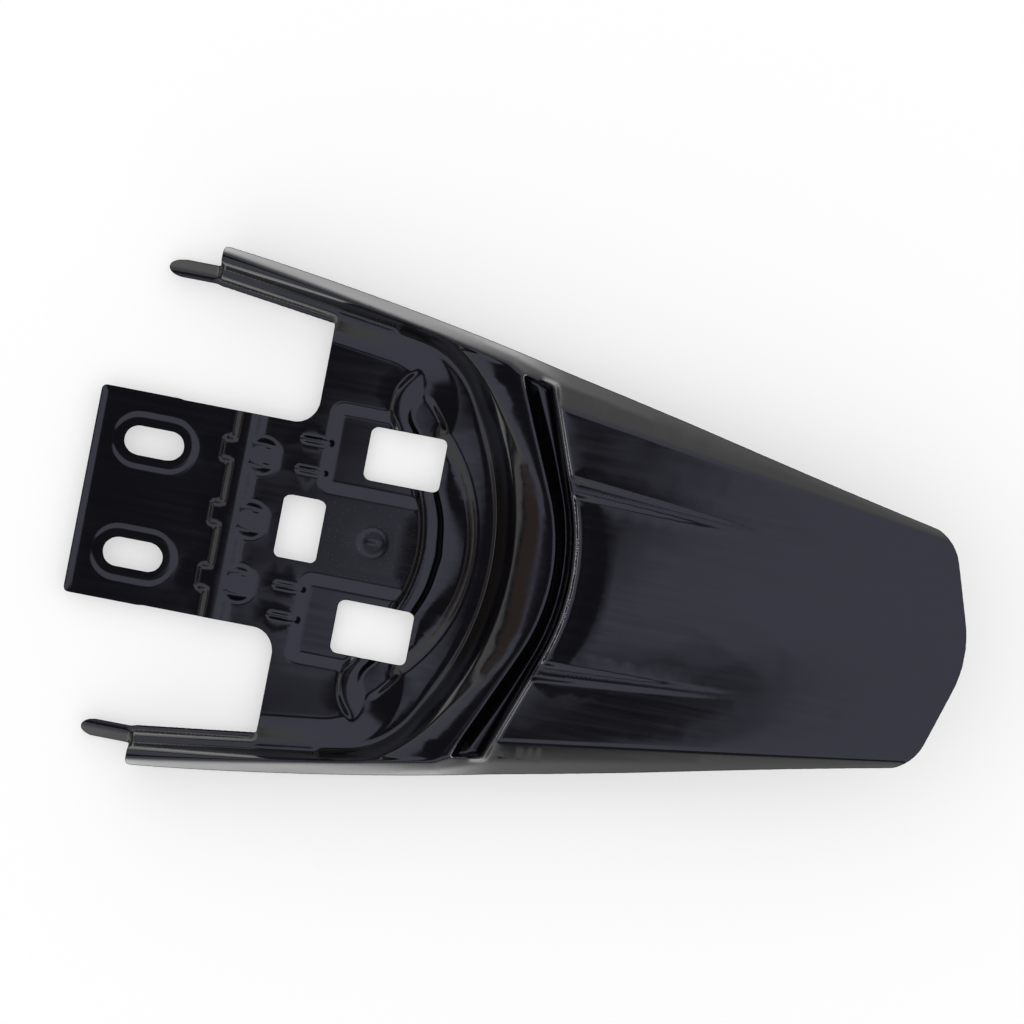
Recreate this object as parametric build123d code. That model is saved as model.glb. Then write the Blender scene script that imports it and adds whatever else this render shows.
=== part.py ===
"""Rear fender of a small off-road motorcycle, injection moulded in one piece.

A flat flange with two slots bolts to the frame. Behind it a corrugated neck leads to the
pan that lies under the seat, a U-shaped wall rises from the pan to the rim that the seat
rests on, and behind a chevron groove the tail runs out over the wheel. Two hollow arms
carry the rim forward on both sides of the seat, each ending in a tab.

The moulding is modelled the way its tool is cut. Every hollow in the visible side is one
tool shape: cut with grow=0 it leaves the visible surface, and the same shape with
grow=wall, joined to the body first, leaves the wall behind that surface.

Frame: origin midway between the two slots on the flange's lower face, +X towards the
tail, +Y to the side, +Z up. Sizes are in millimetres.
"""

import math
import os

from build123d import *

# Wall
wall = 2.5
side_growth = 0.7 * wall
lip_bottom = -6.0

# Flange and slots
deck_top = wall
flange_front = -31.0
flange_half_width = 53.0
flange_corner = 2.2
flange_rear = 34.0
slot_length = 30.5
slot_width = 14.7
slot_pitch = 57.0
slot_rim = 5.5
slot_rim_height = 1.0

# Neck and notches
neck_half_width = 52.5
neck_relief = 0.25
neck_lip_start = 36.0
notch_rear = 78.0
notch_radius = 12.0
bead_section = ((37.0, 0.0), (41.6, 4.0), (47.2, 4.0), (53.0, 0.0))
dart_pitch = 32.7
dart_start = 33.8
dart_end = 64.75
dart_half_width = 10.0
dart_channel = 4.3
dart_box = 5.5

# Arms, rim and skirt
arm_front = 17.0
front_half_width = 132.5
rim_front_height = 29.8
rim_rise = 0.0874
rim_inset = 3.2
skirt_straight_from = 177.0
skirt_low = 4.0
skirt_high = 52.5
strip_height = 5.2
strip_step = 1.1
strip_width = 2.7
tab_length = 26.4
tab_side = 122.0

# Tail
tail_end = 416.5
tail_apex_radius = 60.0
tail_sweep = 17.0
tail_corner_y = 38.6
tail_corner_radius = 24.0
crease_start = 199.0
crease_start_share = 0.634
crease_end_share = 0.4
tail_rise = 11.0
tail_crown = 3.7

# Seat pocket. Each level: height at x=0, slope, inset of the arm line, apex, back radius as a share
# of the rail's half width, corner radius, and the half width at which a corner bulges past the back
rail_inset = 6.1
rail_slope = 0.13
rail_level = (27.6, 0.035, 0.0, 187.0, 1.17, 52.0, None)
wall_level = (18.6, -0.05, 1.7, 180.0, 1.2, 52.0, 75.0)
step_level = (16.9, -0.055, 2.6, 175.0, 1.2, 48.0, 66.0)
shelf_level = (16.2, -0.055, 6.8, 169.0, 0.714, 33.0, 61.0)
cove_level = (4.0, 0.0, 15.3, 166.2, 0.84, 28.0, 77.0)
pan_level = (deck_top, 0.0, 19.8, 164.6, 0.8036, 24.0, 76.0)
bank_steps = ((0.28, 0.38), (0.64, 0.75))
pocket_front = -8.0

# Ridge round the back of the pan, as three curves in plan: its step up from the pan, the rear edge
# of its flat top, and its foot on the ledge behind
ridge_step = ((140.6, 0), (139.9, 9), (137.4, 21), (133.8, 29.5), (119, 58), (113.8, 66), (113.6, 73),
              (115.3, 79.3), (119.2, 85.2), (124.5, 92), (131, 98))
ridge_edge = ((146.3, 0), (145.3, 9), (143, 21), (139.5, 30), (123.9, 57.2), (119.8, 64.9), (118.4, 72),
              (119.4, 78), (122.4, 83.5), (127, 89), (133, 94.5))
ridge_foot = ((152.6, 0), (151.6, 9), (149.2, 21), (145.8, 29.5), (131.4, 57.4), (126.1, 62.8), (124.6, 67.5),
              (125.6, 72.5), (128.2, 77), (132, 81.5), (138, 87))
ridge_height = 4.4
ridge_shoulder = 2.7
ridge_tilt = 0.028

# Pads and small details of the pan
pad_x = (85.2, 150.0)
pad_y = (21.0, 65.9)
pad_depth = 3.4
pad_slope = 4.8
fin_x = (72.0, 88.0)
fin_y = (29.6, 45.0)
fin_height = 2.2
fin_thickness = 2.3
gate_x = 117.0
gate_radius = 7.0
gate_depth = 0.7
gate_nub = (6.0, 1.6, 0.9)

# Holes: x range and y range, corners
middle_hole_x = (69.0, 91.0)
middle_hole_y = (-16.0, 16.0)
side_hole_x = (106.0, 145.0)
side_hole_y = (30.7, 57.8)
hole_corner = 3.5

# Crest and chevron groove
crest_apex = 205.6
crest_radius = 100.0
crest_sweep = 24.2
rim_band = 1.4
groove_land = 4.1
groove_rear_apex = 216.8
groove_rear_radius = 120.0
groove_rear_sweep = 20.0
groove_floor = 37.5
groove_draft = 1.3
groove_end = 3.0

# Tail ribs, the raised lip behind the groove and the valley behind the lip
rib_height = 2.4
rib_start = (208.0, 46.8, 3.7)
rib_end = (356.0, 37.5, 0.4)
rib_draft = 0.7
lip_width = 2.3
valley_depth = 0.9
valley_width = 12.0

far_below = -70.0
far_above = 90.0
far_side = 125.0


def lift(points, height, slope=0.0):
    """Puts plan points on the plane that is `height` high at x=0 and climbs by `slope` along x."""
    return [(x, y, height + slope * x) for x, y in points]


def mirrored(half):
    """Completes a half outline given from y=0 outward with its mirror image."""
    return half + [(x, -y) for x, y in reversed(half)]


def between(start, end, share):
    """Points of a curve that lies between two others."""
    return [(a + share * (c - a), b + share * (d - b)) for (a, b), (c, d) in zip(start, end)]


def prism(points, bottom, top):
    """A straight block over a plan outline."""
    base = make_face(Polyline(*lift(points, bottom), close=True).edges())
    return extrude(base, top - bottom, dir=(0, 0, 1))


def long_block(profile, start, end):
    """A straight block along x over a (y, z) profile."""
    face = make_face(Polyline(*[(start, y, z) for y, z in profile], close=True).edges())
    return extrude(face, end - start, dir=(1, 0, 0))


def cross_block(profile, half_width):
    """A straight block along y over an (x, z) profile."""
    face = make_face(Polyline(*[(x, -half_width, z) for x, z in profile], close=True).edges())
    return extrude(face, 2 * half_width, dir=(0, 1, 0))


# Curves of the body


def skirt_half_width(x):
    run = min(x, skirt_straight_from) - arm_front
    slope = 0.00083 + 4.83e-6 * run
    return front_half_width * (1 - 0.00083 * run - 2.415e-6 * run**2 - slope * max(x - skirt_straight_from, 0))


def rim_half_width(x):
    if x >= crease_start:
        share = (x - crease_start) / (tail_end - crease_start)
        return front_half_width * (crease_start_share + share * (crease_end_share - crease_start_share))
    run = x - arm_front
    return front_half_width * (1 - 0.0012 * run - 1.36e-6 * run**2) - rim_inset


def rim_height(x):
    climb = rim_front_height + rim_rise * (min(x, crest_apex) - arm_front)
    return climb + tail_rise * max(x - crest_apex, 0) / (tail_end - crest_apex)


def skirt_bottom(x):
    """Lower edge of the skirt: low along the arms, sweeping up under the tail."""
    share = max(x - 120, 0) / (tail_end - 120)
    return skirt_low + (skirt_high - skirt_low) * (1.45 * share - 0.45 * share**2)


def crown(x):
    """Rise of the top's middle over its edges: almost flat at the crest, arched over the wheel."""
    share = min(max(x - 195, 0) / 100, 1)
    return 0.3 + tail_crown * share**2 * (3 - 2 * share)


def top_height(x, y):
    """Height of the crowned top at any point."""
    half = rim_half_width(x)
    radius = (half**2 + crown(x) ** 2) / (2 * crown(x))
    return rim_height(x) + crown(x) - radius + math.sqrt(radius**2 - y**2)


def facet_drop(x, spread, drop):
    """How far the skirt's middle edge lies under the rim: halfway down the arms, high on the tail."""
    arm_share = min(max((crease_start - x) / 90, 0), 1)
    return arm_share * 0.6 * drop + (1 - arm_share) * (0.55 * spread + 1.0)


def hull_section(x, inset):
    """Cross-section of the full body: crowned top, two-facet skirt, then straight down to the base."""
    z = rim_height(x)
    y = rim_half_width(x)
    spread = skirt_half_width(x) - y
    low = min(skirt_bottom(x), z - 0.9 * spread - 3.0)
    rim = (y - 0.6 * inset, z - inset)
    facet = (y + 0.6 * spread - 0.8 * inset, z - facet_drop(x, spread, z - low) - 0.9 * inset)
    skirt = (y + spread - inset, low - inset)
    foot = (skirt[0], lip_bottom if inset == 0 else far_below)
    right = [rim, facet, skirt, foot]
    left = [(-a, b) for a, b in reversed(right)]
    top = ThreePointArc((x, *left[-1]), (x, 0, z + crown(x) - inset), (x, *rim))
    sides = Polyline(*[(x, a, b) for a, b in right + left])
    return make_face([top, *sides.edges()])


def hull(inset):
    """The whole body before anything is cut from it."""
    front = [arm_front + inset, 60, 110, 150, 169]
    tail = [crease_start, 250, 330, tail_end + 1]
    body = loft([hull_section(x, inset) for x in front])
    body += loft([hull_section(x, inset) for x in (front[-1], tail[0])], ruled=True)
    body += loft([hull_section(x, inset) for x in tail])
    return body & tail_block(inset)


def arc_point(centre, radius, degrees):
    turn = math.radians(degrees)
    return (centre[0] + radius * math.cos(turn), centre[1] + radius * math.sin(turn))


def tail_block(inset):
    """Block whose rear end has the tail's outline: a blunt point, straight legs, round corners."""
    apex_centre = (tail_end - tail_apex_radius, 0)
    along = apex_centre[0] * math.cos(math.radians(tail_sweep)) + tail_apex_radius - tail_corner_radius
    corner_x = (along - tail_corner_y * math.sin(math.radians(tail_sweep))) / math.cos(math.radians(tail_sweep))
    corner = (corner_x, tail_corner_y)
    half = [
        arc_point(apex_centre, tail_apex_radius - inset, tail_sweep),
        arc_point(corner, tail_corner_radius - inset, tail_sweep),
        arc_point(corner, tail_corner_radius - inset, (tail_sweep + 78) / 2),
        arc_point(corner, tail_corner_radius - inset, 78),
        (300, 150 - inset),
        (-50, 150 - inset),
    ]
    a, b, c, d, e, f = lift(half, far_below - 5)
    p, q, r, s, t, u = lift([(x, -y) for x, y in half], far_below - 5)
    apex = (tail_end - inset, 0, far_below - 5)
    right = [Line(a, b), ThreePointArc(b, c, d), Line(d, e), Line(e, f)]
    left = [Line(u, t), Line(t, s), ThreePointArc(s, r, q), Line(q, p)]
    outline = make_face([ThreePointArc(p, apex, a), *right, Line(f, u), *left])
    return extrude(outline, far_above - far_below, dir=(0, 0, 1))


# The seat pocket


def rail_half_width():
    return front_half_width - rim_inset - rail_inset


def level_points(level, grow):
    """Points of one pocket level on the +Y side, from the front line to the apex at the back."""
    inset, apex_x, radius_share, corner, bulge_y = level[2:]
    side = side_growth * grow / wall
    radius = radius_share * rail_half_width()
    centre = apex_x - radius
    radius += side
    corner += side
    start = rail_half_width() + rail_slope * arm_front - inset + side
    tilt = math.atan(rail_slope)
    normal = (math.sin(tilt), math.cos(tilt))
    reach = start * normal[1] - corner
    if bulge_y is None:
        drop = reach - centre * normal[0]
        along = math.sqrt((radius - corner) ** 2 - drop**2)
        middle = (centre + drop * normal[0] + along * normal[1], drop * normal[1] - along * normal[0])
        bearing = math.atan2(middle[1], middle[0] - centre)
        on_back = (centre + radius * math.cos(bearing), radius * math.sin(bearing))
    else:
        on_back = (centre + math.sqrt(radius**2 - bulge_y**2), bulge_y)
        drop = on_back[0] * normal[0] + bulge_y * normal[1] - reach
        along = math.sqrt(corner**2 - drop**2)
        middle = (on_back[0] - drop * normal[0] - along * normal[1], bulge_y - drop * normal[1] + along * normal[0])
        bearing = math.atan2(bulge_y - middle[1], on_back[0] - middle[0])
    half_way = (math.atan2(normal[1], normal[0]) + bearing) / 2
    front = (pocket_front, start - rail_slope * pocket_front)
    on_arm = (middle[0] + corner * normal[0], middle[1] + corner * normal[1])
    on_corner = (middle[0] + corner * math.cos(half_way), middle[1] + corner * math.sin(half_way))
    return [front, on_arm, on_corner, on_back, (centre + radius, 0)]


def level_outline(right, height, slope):
    """Closed outline of one pocket level: front line, arm lines, rounded corners and back arc."""
    a, b, c, d, apex = lift(right, height, slope)
    e, f, g, h = lift([(x, -y) for x, y in right[:4]], height, slope)
    edges = [Line(e, a), Line(a, b), ThreePointArc(b, c, d), ThreePointArc(d, apex, h), ThreePointArc(h, g, f)]
    return make_face([*edges, Line(f, e)])


def crest_point(y, apex, radius, sweep):
    """x of a chevron curve at the half width y: an arc at the apex, straight beyond it."""
    turn = radius * math.sin(math.radians(sweep))
    if y <= turn:
        return apex - radius + math.sqrt(radius**2 - y**2)
    return apex - radius * (1 - math.cos(math.radians(sweep))) - (y - turn) * math.tan(math.radians(sweep))


def crest_points(grow):
    """Points of the pocket's top on the +Y side: rim line, rim corner, chevron leg, turn, apex."""
    start = rim_half_width(arm_front) - rim_band + side_growth * grow / wall
    slope = (rim_half_width(arm_front) - rim_half_width(165)) / (165 - arm_front)
    apex = crest_apex + side_growth * grow / wall
    turn = crest_radius * math.sin(math.radians(crest_sweep))
    arm = [(pocket_front, start - slope * (pocket_front - arm_front))]
    end_y = 60.0
    for _ in range(40):
        end_x = crest_point(end_y, apex, crest_radius, crest_sweep)
        end_y = start - slope * (end_x - arm_front)
    turn_point = (crest_point(turn, apex, crest_radius, crest_sweep), turn)
    leg_point = ((end_x + turn_point[0]) / 2, (end_y + turn) / 2)
    return [*arm, (end_x, end_y), leg_point, turn_point, (apex, 0)]


def crest_outline(right, height, slope):
    """Closed outline of the pocket's top, inside the rim line and closed by the crest's chevron."""
    a, b, _, c, top = lift(right, height, slope)
    e, f, _, g = lift([(x, -y) for x, y in right[:4]], height, slope)
    return make_face([Line(e, a), Line(a, b), Line(b, c), ThreePointArc(c, top, g), Line(g, f), Line(f, e)])


def pocket(grow):
    """The hollow the seat sits in, from above the crest down to the pan."""
    faces = []
    for level in (pan_level, cove_level, shelf_level, step_level, wall_level, rail_level):
        faces.append(level_outline(level_points(level, grow), level[0] - grow, level[1]))
    rail, crest = level_points(rail_level, grow), crest_points(grow)
    crest_height = rim_front_height - rim_rise * arm_front + 0.25
    for plan_share, height_share in bank_steps:
        height = rail_level[0] + height_share * (crest_height - rail_level[0]) - grow
        slope = rail_level[1] + height_share * (rim_rise - rail_level[1])
        faces.append(level_outline(between(rail, crest, plan_share), height, slope))
    faces.append(crest_outline(crest, crest_height - grow, rim_rise))
    body = extrude(faces[-1], 40, dir=(0, 0, 1))
    for lower, upper in zip(faces, faces[1:]):
        body += loft([lower, upper], ruled=True)
    return body


def strip(grow):
    """The opening between the arms, ahead of the pan, with a narrow step along each arm's foot."""
    faces = []
    for x in (pocket_front, notch_rear + grow):
        shelf = rail_half_width() - rail_slope * (x - arm_front) - shelf_level[2] + side_growth * grow / wall
        shelf_height = shelf_level[0] + shelf_level[1] * x - grow
        step = shelf - strip_step
        edge = step - strip_width
        right = [(shelf - 1.5, shelf_height + 4), (shelf, shelf_height), (step, strip_height - grow)]
        right += [(edge, strip_height - 0.4 - grow), (edge, lip_bottom - grow), (edge - 9, lip_bottom - 30)]
        loop = right + [(-y, z) for y, z in reversed(right)]
        faces.append(make_face(Polyline(*[(x, y, z) for y, z in loop], close=True).edges()))
    return loft(faces, ruled=True)


def groove_side(apex, radius, sweep, height, slope):
    """One long side of the chevron groove: straight, apex arc, straight."""
    turn = radius * math.sin(math.radians(sweep))
    points = [(crest_point(y, apex, radius, sweep), y) for y in (far_side, turn, 0)]
    points += [(x, -y) for x, y in reversed(points[:2])]
    a, b, c, d, e = lift(points, height, slope)
    return [Line(a, b), ThreePointArc(b, c, d), Line(d, e)], a, e


def chevron_face(front, rear, height, slope):
    """Flat chevron band between two curves, each given as apex, radius and sweep."""
    front_edges, a, b = groove_side(*front, height, slope)
    rear_edges, c, d = groove_side(*rear, height, slope)
    return make_face([*front_edges, Line(b, d), *rear_edges, Line(a, c)])


def rear_curve(offset):
    """The groove's rear edge moved towards the tail."""
    return (groove_rear_apex + offset, groove_rear_radius, groove_rear_sweep)


def inside_rim(margin, start, end):
    """Block between the two rim lines."""
    half = [(x, rim_half_width(x) - margin) for x in (start, crease_start - 1, crease_start, end)]
    return prism(mirrored(half), 0, far_above)


def groove(grow):
    """The chevron groove between the crest and the tail, closed at both ends by the rim."""
    side = side_growth * grow / wall
    front = (crest_apex + groove_land - side, crest_radius, crest_sweep)
    low_front = (front[0] + groove_draft, *front[1:])
    floor = chevron_face(low_front, rear_curve(side - groove_draft), groove_floor - grow, 0.0)
    top = chevron_face(front, rear_curve(side), rim_front_height - rim_rise * arm_front + 0.4, rim_rise)
    cut = loft([floor, top], ruled=True) + extrude(top, 30, dir=(0, 0, 1))
    return cut & inside_rim(groove_end - side, 150, 240)


def tail_plane():
    """Height at x=0 and slope of the plane that touches the tail's top behind the groove."""
    slope = 0.06
    return rim_height(groove_rear_apex) + crown(groove_rear_apex) - slope * groove_rear_apex, slope


def rear_lip():
    """Raised lip along the groove's rear edge."""
    base, slope = tail_plane()
    top = chevron_face(rear_curve(-4), rear_curve(lip_width), base + rib_height - 0.1, slope)
    low = chevron_face(rear_curve(-4), rear_curve(lip_width + 0.8), base - 1.5, slope)
    return loft([low, top], ruled=True) & inside_rim(0.8, 160, 260)


def valley():
    """Shallow valley behind the lip that rises gently into the tail."""
    base, slope = tail_plane()
    start = lip_width + 0.3
    low = chevron_face(rear_curve(start + 0.3), rear_curve(start + 1.3), base - valley_depth, slope)
    top = chevron_face(rear_curve(start), rear_curve(start + valley_width), base + 0.2, slope)
    return (loft([low, top], ruled=True) + extrude(top, 5, dir=(0, 0, 1))) & inside_rim(1.5, 160, 260)


def rib(side):
    """Tapered stiffening rib on the tail, flat on top and fading out towards the rear."""
    faces = []
    for x, y, half in (rib_start, rib_end):
        rise = rib_height * (x == rib_start[0])
        z = top_height(x, y)
        near = (y - half - rib_draft, z - 1.6)
        far = (y + half + rib_draft, z - 1.8)
        loop = [near, (y - half, z + rise), (y + half, z + rise - 0.2), far]
        faces.append(make_face(Polyline(*[(x, side * a, b) for a, b in loop], close=True).edges()))
    return loft(faces, ruled=True)


# Flange, neck and pan


def deck_outline(inset, height):
    """Flange and neck outline, flaring into the pan's front edge."""
    side = neck_half_width - inset
    flange = flange_half_width - inset
    front = flange_front + inset
    corner = max(flange_corner - inset, 0.5)
    rear = notch_rear + inset
    bend = notch_radius + inset
    near = corner * (1 - math.sqrt(0.5))
    at_bend = (rear - bend * (1 - math.sqrt(0.5)), side + bend * (1 - math.sqrt(0.5)))
    edges = []
    for s in (1, -1):
        points = [
            (front, 0), (front, s * (flange - corner)), (front + near, s * (flange - near)),
            (front + corner, s * flange), (rear - bend, s * side), (at_bend[0], s * at_bend[1]),
            (rear, s * (side + bend)), (rear + wall, s * (side + bend)), (rear + wall, 0),
        ]
        a, b, c, d, e, f, g, h, i = lift(points, height)
        edges += [Line(a, b), ThreePointArc(b, c, d), Line(d, e), ThreePointArc(e, f, g), Line(g, h), Line(h, i)]
    return make_face(edges)


def deck():
    """Flange and neck; the neck's edges turn down into a lip that starts behind the flange."""
    body = extrude(deck_outline(0, lip_bottom), deck_top - lip_bottom, dir=(0, 0, 1))
    front = flange_front - 5
    low = lip_bottom - 1
    under = [(front, 0), (neck_lip_start, 0), (neck_lip_start + 14, low), (front, low)]
    return body - cross_block(under, flange_half_width + 5)


def under_neck():
    """The space under the neck and its bend into the pan."""
    space = extrude(deck_outline(wall, far_below), neck_relief - far_below, dir=(0, 0, 1))
    behind = [(flange_rear, 100), (150, 100), (150, -100), (flange_rear, -100)]
    return space & prism(behind, far_below, far_above)


def bead(half_width):
    return cross_block([(x, deck_top - 0.5 + z + (0.5 if z else 0)) for x, z in bead_section], half_width)


def dart(y):
    """Nose behind the bead with a channel down its middle, and a small box in front of the bead."""
    top = deck_top + bead_section[1][1]
    base = deck_top - 0.4
    round_start = dart_end - dart_half_width
    start, end = (44, -dart_half_width), (round_start, -dart_half_width)
    far_end, far_start = (round_start, dart_half_width), (44, dart_half_width)
    outline = make_face([
        Line(start, end), ThreePointArc(end, (dart_end, 0), far_end), Line(far_end, far_start), Line(far_start, start)
    ])
    nose = extrude(Pos(0, 0, base) * outline, top - base, taper=48)
    channel = [(bead_section[2][0], top), (dart_end + 0.5, base), (80, base), (80, 30), (bead_section[2][0], 30)]
    nose -= cross_block(channel, dart_channel)
    box = [(dart_start, base), (dart_start + 0.8, top - 1.2), (bead_section[1][0], top), (46, top), (46, base)]
    return Pos(0, y, 0) * (nose + cross_block(box, dart_box))


def tab(side):
    """Angled tongue at the front of each arm: a narrow flat along a steep outer face."""
    flat = strip_height - 0.3
    section = [(112.9, flat - 0.2), (116.5, flat + 0.7), (tab_side, lip_bottom + 2.5), (tab_side - 1.8, lip_bottom)]
    section += [(115.3, flat - 2.4), (112.9, flat - 2.7)]
    tip = arm_front - tab_length
    tongue = long_block([(side * y, z) for y, z in section], tip, arm_front + 4)
    plan = [(tip, 116.8), (tip + 0.2, 118.6), (tip + 1.8, 120.4), (tip + 4.5, 121.6), (tip + 8.5, tab_side + 0.2)]
    plan += [(30, tab_side + 0.2), (30, 112.4), (tip + 9.4, 112.6), (tip + 4.4, 113.4), (tip + 1.6, 114.7)]
    return tongue & prism([(x, side * y) for x, y in plan], -20, 20)


def fin():
    """Low upright fin on the pan."""
    face = [(fin_x[0], -0.5), (fin_x[0] + 1, fin_height), (fin_x[1] - 5, fin_height), (fin_x[1], -0.5)]
    return cross_block([(x, deck_top + z) for x, z in face], fin_thickness / 2)


def front_roll():
    """Thickened strip along the flange's front edge."""
    section = [(0, -0.2), (0, 0.5), (0.5, 0.9), (1.5, 0.9), (2.4, -0.2)]
    half = flange_half_width - flange_corner
    return cross_block([(flange_front + x, deck_top + z) for x, z in section], half)


def ridge_face(height, tilt, front_share, rear_share):
    """Half of one ridge level, sinking by `tilt` away from the middle; the shares lead to its top edge."""
    front = between(ridge_step, ridge_edge, front_share)
    rear = between(ridge_foot, ridge_edge, rear_share)
    front_edge = Spline(*[(x, y, height - tilt * y) for x, y in front])
    rear_edge = Spline(*[(x, y, height - tilt * y) for x, y in rear])
    ends = [Line(front_edge @ 0, rear_edge @ 0), Line(front_edge @ 1, rear_edge @ 1)]
    return make_face([front_edge, ends[1], rear_edge, ends[0]])


def both_halves(half):
    return half + mirror(half, about=Plane.XZ)


def ridge():
    """Ridge round the back of the pan; its ends curl forward and run into the side walls."""
    faces = [
        ridge_face(deck_top - pad_depth - 0.5, 0, 0, 0),
        ridge_face(deck_top, 0, 0, 0),
        ridge_face(deck_top + ridge_shoulder, 0.64 * ridge_tilt, 0.1, 0.36),
        ridge_face(deck_top + ridge_height, ridge_tilt, 0.18, 1),
    ]
    half = loft(faces[:2], ruled=True)
    for low, top in zip(faces[1:], faces[2:]):
        half += loft([low, top], ruled=True)
    return both_halves(half)


def ridge_core():
    """The space under the ridge."""
    low = ridge_face(lip_bottom - 6, 0, 0.36, 0.45)
    top = ridge_face(deck_top + ridge_height - wall, ridge_tilt, 0.45, 0.9)
    return both_halves(loft([low, top], ruled=True))


def pad(side, grow):
    """Sunk field around a side hole, reaching back to the ridge."""
    middle = ((pad_x[0] + pad_x[1]) / 2, side * (pad_y[0] + pad_y[1]) / 2)
    reach = side_growth * grow / wall
    size = (pad_x[1] - pad_x[0] + 2 * reach, pad_y[1] - pad_y[0] + 2 * reach)
    top = Pos(*middle, deck_top - grow) * RectangleRounded(*size, 5 + reach)
    low = Pos(*middle, deck_top - pad_depth - grow) * RectangleRounded(
        size[0] - 2 * pad_slope, size[1] - 2 * pad_slope, 2 + reach
    )
    field = loft([low, top], ruled=True)
    if grow == 0:
        field += extrude(top, 10, dir=(0, 0, 1))
    rear = ridge_foot[:8] if grow else ridge_edge[:8]
    region = [(60, 0), *rear, (60, rear[-1][1])]
    return field & prism([(x, side * y) for x, y in region], -20, 20)


def hole(x_range, y_range):
    middle = (sum(x_range) / 2, sum(y_range) / 2)
    shape = RectangleRounded(x_range[1] - x_range[0], y_range[1] - y_range[0], hole_corner)
    return extrude(Pos(*middle, -20) * shape, 50)


def slot(side):
    return Pos(0, side * slot_pitch / 2, 0) * SlotOverall(slot_length, slot_width)


def slot_rim_pad(side):
    """Soft raised rim round a bolt slot."""
    shape = SlotOverall(slot_length + 2 * slot_rim + 2, slot_width + 2 * slot_rim + 2)
    return extrude(Pos(0, side * slot_pitch / 2, deck_top - 0.2) * shape, slot_rim_height + 0.2, taper=45)


def skirt_trim():
    """Everything below the skirt's lower edge."""
    low = [(x, -150, skirt_bottom(x)) for x in (0, 60, 120, 180, 240, 300, 360, 430)]
    front, rear = low[0], low[-1]
    below = Polyline(rear, (rear[0], rear[1], far_below - 5), (front[0], front[1], far_below - 5), front)
    return extrude(make_face([Spline(*low), *below.edges()]), 300, dir=(0, 1, 0))


def gate_mark():
    """Shallow dish with a nub where the plastic was fed in."""
    upright = (Align.CENTER, Align.CENTER, Align.MIN)
    dish = Cone(gate_radius - gate_depth, gate_radius + gate_depth, 2 * gate_depth, align=upright)
    return Pos(gate_x, 0, deck_top - gate_depth) * (dish - Box(*gate_nub, align=upright))


def fender():
    solid = hull(0)
    body = solid - hull(wall) - skirt_trim() + rear_lip()
    hollows = (pocket, groove, strip)
    for hollow in hollows:
        body += hollow(wall) & solid
    body -= valley()
    for side in (1, -1):
        body += rib(side)
    for hollow in hollows:
        body -= hollow(0)
    core_limit = prism([(226, 200), (360, 200), (360, -200), (226, -200)], 0, far_above)
    for side in (1, -1):
        body -= Pos(0, 0, -wall) * rib(side) & core_limit
        body += pad(side, wall)
    body += deck()
    body -= under_neck()
    for side in (1, -1):
        body -= pad(side, 0)
    body += ridge()
    body -= ridge_core()
    body += bead(neck_half_width)
    body -= Pos(0, 0, -wall) * bead(neck_half_width - wall)
    for y in (-dart_pitch, 0, dart_pitch):
        body += dart(y)
        body -= Pos(0, 0, -wall) * dart(y)
    for side in (1, -1):
        body += tab(side)
        body += slot_rim_pad(side)
        for y in fin_y:
            body += Pos(0, side * y, 0) * fin()
    body += front_roll()
    body -= gate_mark()
    for side in (1, -1):
        body -= extrude(Pos(0, 0, -5) * slot(side), 20)
        body -= hole(side_hole_x, sorted((side * side_hole_y[0], side * side_hole_y[1])))
    return body - hole(middle_hole_x, middle_hole_y)


if __name__ == "__main__":
    os.makedirs("parts", exist_ok=True)
    export_step(fender(), "parts/fender.step")
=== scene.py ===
# %% [markdown]
# # A moulded motorcycle fender in gloss black
# The fender is one injection moulding, about 450 mm long: a flange with two slots, a neck, a pan that
# lies under the seat, two arms, and a ribbed tail that covers the wheel. This lesson takes the exact
# CAD shape, gives it the small roundings that every moulded edge has, and lights it from above.

import math

import bpy
import numpy as np
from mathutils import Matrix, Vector
from mathutils.geometry import delaunay_2d_cdt


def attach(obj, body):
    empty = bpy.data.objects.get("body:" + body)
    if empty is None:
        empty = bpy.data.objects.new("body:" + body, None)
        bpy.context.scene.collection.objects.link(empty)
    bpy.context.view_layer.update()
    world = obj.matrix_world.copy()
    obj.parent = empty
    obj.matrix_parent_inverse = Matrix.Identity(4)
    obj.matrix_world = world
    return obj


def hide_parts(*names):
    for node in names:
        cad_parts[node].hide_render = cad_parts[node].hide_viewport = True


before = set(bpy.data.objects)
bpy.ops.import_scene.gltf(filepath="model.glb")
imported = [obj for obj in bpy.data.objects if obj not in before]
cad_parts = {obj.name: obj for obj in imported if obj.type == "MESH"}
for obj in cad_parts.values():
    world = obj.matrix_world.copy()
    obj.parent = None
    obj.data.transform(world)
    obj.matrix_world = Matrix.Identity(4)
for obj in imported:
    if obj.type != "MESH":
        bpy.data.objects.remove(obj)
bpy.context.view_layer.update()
cad_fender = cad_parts["fender"]

# %% [markdown]
# ## What a mould does to an edge
# No edge of a moulded part is sharp: the tool is milled and polished, so each outer edge has a radius
# of about half a millimetre and each inner corner a little more. Those roundings catch the light, and
# without them gloss black plastic reads as folded paper. A bevel tool could round the CAD mesh, but
# its many thin triangles would break a bevel. The moulding can be read as two height maps instead,
# one seen from above and one from below, because a mould has to open along one direction.

# %% Sizes of the mould's grid and the CAD's triangles
MM = 0.001
PITCH = 0.4  # distance between two height samples, mm
MARGIN = 12  # empty samples round the part
EDGE_ROUNDING = 0.62  # spread of the outline's rounding, mm
SKIN_ROUNDING = 0.9  # spread of the rounding of creases in the skin, mm
RIM_INSET = 0.3  # how far the outer edge's rounding reaches in, mm


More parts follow.
